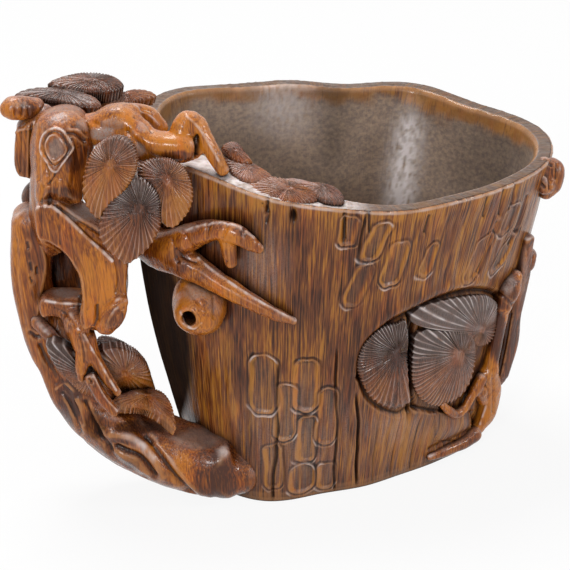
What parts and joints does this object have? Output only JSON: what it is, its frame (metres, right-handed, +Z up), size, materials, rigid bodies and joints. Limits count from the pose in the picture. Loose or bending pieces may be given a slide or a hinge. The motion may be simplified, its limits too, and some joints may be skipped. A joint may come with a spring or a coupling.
{
  "type": "carved horn libation cup",
  "caption": "Libation cup carved as a hollow pine trunk, with an openwork handle of roots and branches and round fans of pine needles in relief.",
  "frame": {"origin": "centre of the flat foot, on the ground", "axes": "+X from the handle to the lip, -Y the front with the drilled burl and the long thorn, +Z up"},
  "size_m": [0.1434, 0.0824, 0.1075],
  "materials": {
    "horn_bark": "polished horn with fine upright fibres and cut bark scales",
    "horn_branch": "polished amber horn",
    "horn_needles": "cut ribs, half gloss"
  },
  "bodies": {
    "root": {"cup_body": "horn_bark", "root_trunk": "horn_branch", "burl_column": "horn_branch", "bark_slab": "horn_branch", "inner_bough": "horn_branch", "strap_branch": "horn_branch", "bridge_branch": "horn_branch", "forked_twig": "horn_branch", "finger_twig": "horn_branch", "spur_twig": "horn_branch", "crown_branch": "horn_branch", "crown_stub": "horn_branch", "bough_tip": "horn_branch", "forked_bough": "horn_branch", "hollow_burl": "horn_branch", "foot_root": "horn_branch", "wall_twig": "horn_branch", "wall_branch": "horn_branch", "side_branch": "horn_branch", "rim_knot": "horn_branch", "wall_knot": "horn_branch", "fan_bough": "horn_branch", "back_bough": "horn_branch", "back_twig": "horn_branch", "front_fan_upper": "horn_needles", "front_fan_right": "horn_needles", "front_fan_lower": "horn_needles", "top_fan_high": "horn_needles", "top_fan_left": "horn_needles", "top_fan_under": "horn_needles", "top_fan_rim": "horn_needles", "low_fan_right": "horn_needles", "low_fan_under": "horn_needles", "low_fan_left": "horn_needles", "low_fan_back": "horn_needles", "rim_fan_small": "horn_needles", "rim_fan_left": "horn_needles", "rim_fan_middle": "horn_needles", "rim_fan_right": "horn_needles", "wall_fan_front": "horn_needles", "wall_fan_side": "horn_needles", "wall_fan_upper": "horn_needles", "back_fan_left": "horn_needles", "back_fan_middle": "horn_needles", "back_fan_upper": "horn_needles", "back_fan_right": "horn_needles"}
  },
  "joints": []
}
